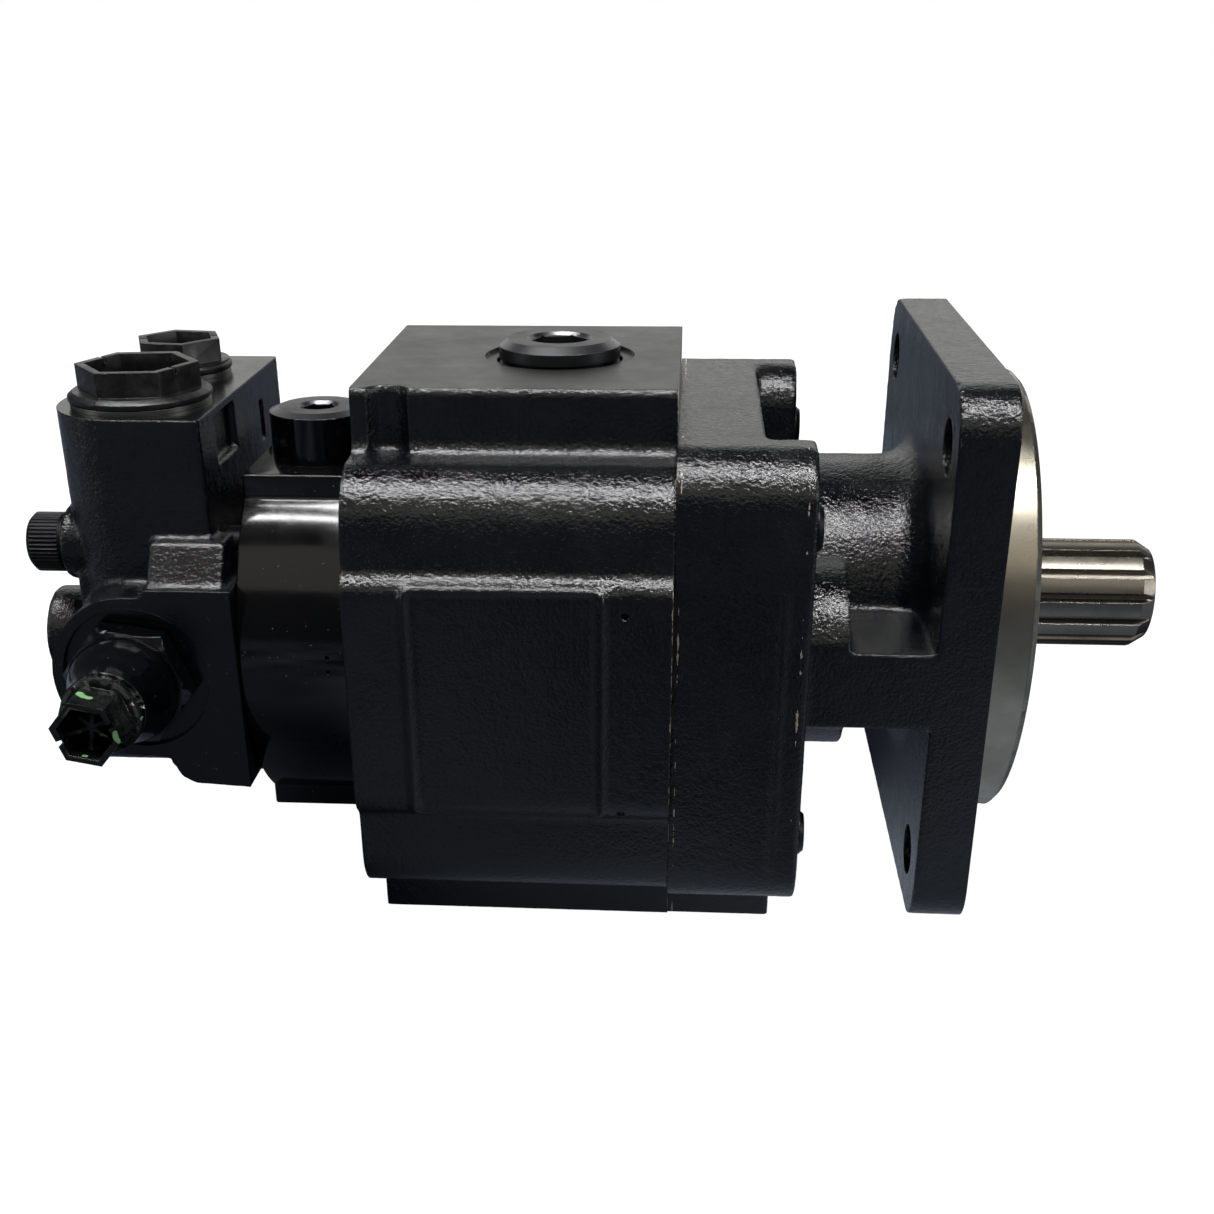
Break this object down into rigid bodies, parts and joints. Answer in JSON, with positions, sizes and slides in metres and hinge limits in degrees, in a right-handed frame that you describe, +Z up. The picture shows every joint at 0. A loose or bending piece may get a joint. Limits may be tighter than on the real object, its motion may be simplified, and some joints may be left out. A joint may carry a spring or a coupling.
{
  "type": "hydraulic gear pump",
  "caption": "External gear pump with a square mounting flange, round pilot, splined drive shaft, plugged top port, flanged bottom port and a rear valve block.",
  "frame": {"origin": "where the drive shaft's axis meets the flange's mounting face", "axes": "+X along the drive shaft towards its splined end, +Z up towards the plugged port, idler gear on the -Y side"},
  "size_m": [0.312, 0.1865, 0.1525],
  "materials": {
    "cover_paint": "glossy black paint over a rough casting",
    "housing_paint": "glossy black paint over a rough casting",
    "rear_cover_paint": "smooth glossy black paint",
    "valve_block_paint": "glossy black paint over a rough casting",
    "plate_bronze": "machined bronze",
    "bushing_bronze": "machined bronze",
    "seal_rubber": "matt black",
    "spring_steel": "drawn wire",
    "hard_steel": "ground",
    "gear_steel": "machined, bare",
    "black_screw": "black oxide",
    "block_screw": "black oxide with a knurled head",
    "plug_steel": "satin dark plating with a bright chamfer",
    "small_plug_steel": "black paint with a bright chamfer",
    "cap_plastic": "satin black plastic",
    "far_cap_plastic": "satin black plastic",
    "washer": "thin plated washer",
    "fitting_paint": "glossy black paint",
    "fitting_cap_plastic": "glossy black plastic with green paint marks"
  },
  "bodies": {
    "pump_body": {"mounting_cover": "cover_paint", "gear_housing": "housing_paint", "rear_cover": "rear_cover_paint", "valve_block": "valve_block_paint", "front_thrust_plate": "plate_bronze", "rear_thrust_plate": "plate_bronze", "front_plate_seal": "seal_rubber", "rear_plate_seal": "seal_rubber", "front_drive_bushing": "bushing_bronze", "front_idler_bushing": "bushing_bronze", "rear_drive_bushing": "bushing_bronze", "rear_idler_bushing": "bushing_bronze", "shaft_seal": "seal_rubber", "seal_retaining_ring": "spring_steel", "front_face_seal": "seal_rubber", "rear_face_seal": "seal_rubber", "gallery_face_seals": "seal_rubber", "front_dowels": "hard_steel", "rear_dowels": "hard_steel", "housing_bolts": "black_screw", "rear_cover_screws": "black_screw", "block_screws": "block_screw", "top_port_plug": "plug_steel", "top_plug_seal": "seal_rubber", "gallery_plug": "small_plug_steel", "gallery_plug_seal": "seal_rubber", "near_port_cap": "cap_plastic", "near_cap_washer": "washer", "far_port_cap": "far_cap_plastic", "far_cap_washer": "washer", "port_fitting": "fitting_paint", "fitting_cap": "fitting_cap_plastic", "spool_spring": "spring_steel", "spool_end_plug": "plug_steel", "relief_spring": "spring_steel", "relief_plug": "plug_steel"},
    "drive_gear": {"drive_gear_shaft": "gear_steel"},
    "idler_gear": {"idler_gear_shaft": "gear_steel"},
    "spool": {"control_spool": "hard_steel"},
    "poppet": {"relief_poppet": "hard_steel"}
  },
  "joints": [
    {"name": "drive_spin", "type": "hinge", "parent": "pump_body", "child": "drive_gear", "pos_m": [0, 0, 0], "axis": [1, 0, 0], "continuous": true},
    {"name": "idler_spin", "type": "hinge", "parent": "pump_body", "child": "idler_gear", "pos_m": [0, -0.0508, 0], "axis": [1, 0, 0], "continuous": true},
    {"name": "spool_slide", "type": "slide", "parent": "pump_body", "child": "spool", "axis": [0, 1, 0], "range_m": [0, 0.006], "stiffness_N_per_m": 4000, "springref_m": -0.003, "deforming": ["spool_spring"]},
    {"name": "relief_slide", "type": "slide", "parent": "pump_body", "child": "poppet", "axis": [-1, 0, 0], "range_m": [0, 0.0015], "stiffness_N_per_m": 3000, "springref_m": -0.001, "deforming": ["relief_spring"]}
  ],
  "couplings": [
    {"joint": "idler_spin", "follows": "drive_spin", "ratio": -1}
  ]
}
